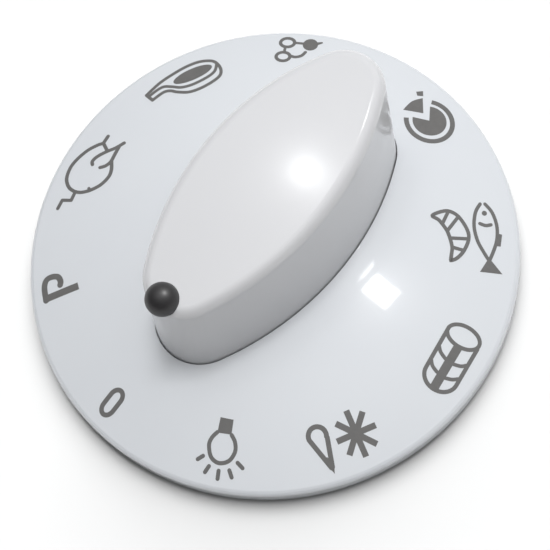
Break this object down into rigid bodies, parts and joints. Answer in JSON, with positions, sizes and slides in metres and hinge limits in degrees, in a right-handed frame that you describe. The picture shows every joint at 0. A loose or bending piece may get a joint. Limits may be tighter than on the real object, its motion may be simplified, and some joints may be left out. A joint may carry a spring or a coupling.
{
  "type": "oven control knob",
  "caption": "Glossy white oven knob: a domed dial disc with cooking symbols, an oval finger grip with a dark ball pointer, and a D-shaft socket behind.",
  "frame": {"origin": "on the axis of rotation, in the plane of the flat back rim", "axes": "+Z along the axis of rotation towards the user, +Y from the axis towards the ball pointer"},
  "size_m": [0.06, 0.06, 0.0221],
  "materials": {
    "disc_white": "high gloss",
    "grip_white": "high gloss",
    "pointer_dark": "gloss",
    "spring_steel": "rolled strip",
    "dial_ink": "pad print"
  },
  "bodies": {
    "root": {"dial_disc": "disc_white", "grip": "grip_white", "pointer": "pointer_dark", "shaft_clip": "spring_steel"}
  },
  "joints": []
}
